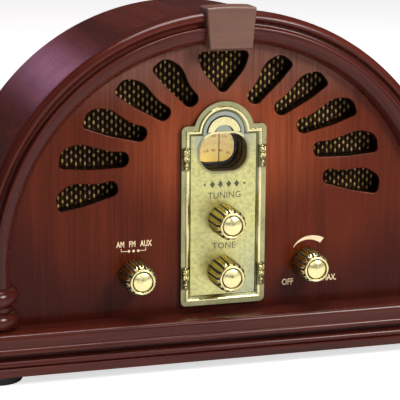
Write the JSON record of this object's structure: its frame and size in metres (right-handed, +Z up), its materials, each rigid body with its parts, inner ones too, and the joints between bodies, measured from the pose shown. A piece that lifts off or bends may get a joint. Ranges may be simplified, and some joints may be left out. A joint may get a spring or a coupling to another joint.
{
  "type": "cathedral radio",
  "caption": "Arched wooden table radio with a sunburst speaker grille, brass faceplate, lit dial window and fluted brass knobs; knobs turn, the dial follows the tuning knob.",
  "frame": {"origin": "centre of the bounding box at the bottom of the rubber feet", "axes": "+Z up, +X to the viewer's right across the front, +Y from the front panel to the back"},
  "size_m": [0.344, 0.141, 0.2342],
  "materials": {
    "mahogany_panel": "gloss lacquer over red-brown veneer",
    "mahogany_trim": "dark red-brown gloss lacquer",
    "softwood": "raw glue block",
    "hardboard": "dark pressed board",
    "rubber": "black moulded rubber",
    "steel": "zinc-plated",
    "antique_brass": "antiqued, stippled field with bright rims",
    "knob_brass": "polished with dark flutes",
    "grille_cloth": "dark woven cloth with gold dots",
    "dark_plastic": "dark brown moulded plastic",
    "clear_acrylic": "clear",
    "dial_plastic": "cream translucent dial",
    "white_plastic": "moulded",
    "lamp_glass": "warm dial lamp",
    "ferrite": "ferrite and magnet grey",
    "paper_cone": "pulp cone with rubber roll",
    "circuit_laminate": "green circuit laminate",
    "aluminium": "mill finish"
  },
  "bodies": {
    "cabinet": {"cabinet_shell": "mahogany_trim", "front_panel": "mahogany_panel", "arch_moulding_left": "mahogany_trim", "arch_moulding_right": "mahogany_trim", "keystone": "mahogany_panel", "capital_left": "mahogany_trim", "capital_right": "mahogany_trim", "base_top_board": "mahogany_trim", "plinth_rail_front": "mahogany_trim", "plinth_rail_left": "mahogany_trim", "plinth_rail_right": "mahogany_trim", "plinth_rail_rear": "mahogany_trim", "corner_blocks": "softwood", "rubber_feet": "rubber", "foot_screws": "steel", "grille_cloth": "grille_cloth", "speaker_baffle": "hardboard", "baffle_screws": "steel", "speaker_screws": "steel", "speaker_magnets": "ferrite", "speaker_frame_left": "steel", "speaker_frame_right": "steel", "faceplate": "antique_brass", "faceplate_clasps": "antique_brass", "dial_well": "dark_plastic", "dial_lens": "clear_acrylic", "dial_cursor": "dark_plastic", "tuning_capacitor": "aluminium", "tuning_bracket": "steel", "bracket_posts": "steel", "lamp_holder": "white_plastic", "dial_lamp": "lamp_glass", "tuning_bushing": "antique_brass", "control_nuts": "steel", "rear_batten": "softwood", "rear_panel": "hardboard", "rear_screws": "steel", "dc_inlet": "dark_plastic", "aux_jack": "dark_plastic", "board_standoffs": "steel", "circuit_board": "circuit_laminate", "board_components": "dark_plastic", "ferrite_rod": "ferrite", "rod_clips": "white_plastic", "band_switch": "aluminium", "volume_control": "aluminium", "tone_control": "aluminium"},
    "tuning": {"tuning_knob": "knob_brass", "tuning_shaft": "steel"},
    "dial": {"dial_gear": "white_plastic", "dial_disc": "dial_plastic", "dial_spindle": "steel"},
    "tone": {"tone_knob": "knob_brass", "tone_shaft": "steel"},
    "band": {"band_knob": "knob_brass", "band_shaft": "steel"},
    "volume": {"volume_knob": "knob_brass", "volume_shaft": "steel"},
    "cone_left": {"speaker_cone_left": "paper_cone"},
    "cone_right": {"speaker_cone_right": "paper_cone"}
  },
  "joints": [
    {"name": "tuning_turn", "type": "hinge", "parent": "cabinet", "child": "tuning", "pos_m": [0, -0.046, 0.0949], "axis": [0, 1, 0], "range_deg": [-270, 270]},
    {"name": "dial_turn", "type": "hinge", "parent": "cabinet", "child": "dial", "pos_m": [0, -0.046, 0.1109], "axis": [0, 1, 0], "range_deg": [-90, 90]},
    {"name": "tone_turn", "type": "hinge", "parent": "cabinet", "child": "tone", "pos_m": [0, -0.046, 0.0603], "axis": [0, 1, 0], "range_deg": [-150, 150]},
    {"name": "band_turn", "type": "hinge", "parent": "cabinet", "child": "band", "pos_m": [-0.0588, -0.046, 0.0616], "axis": [0, 1, 0], "range_deg": [-30, 30]},
    {"name": "volume_turn", "type": "hinge", "parent": "cabinet", "child": "volume", "pos_m": [0.0588, -0.046, 0.0616], "axis": [0, 1, 0], "range_deg": [0, 300]},
    {"name": "cone_left_travel", "type": "slide", "parent": "cabinet", "child": "cone_left", "axis": [0, 1, 0], "range_m": [-0.0008, 0.0008], "stiffness_N_per_m": 1200},
    {"name": "cone_right_travel", "type": "slide", "parent": "cabinet", "child": "cone_right", "axis": [0, 1, 0], "range_m": [-0.0008, 0.0008], "stiffness_N_per_m": 1200}
  ],
  "couplings": [
    {"joint": "dial_turn", "follows": "tuning_turn", "ratio": -0.33333}
  ]
}
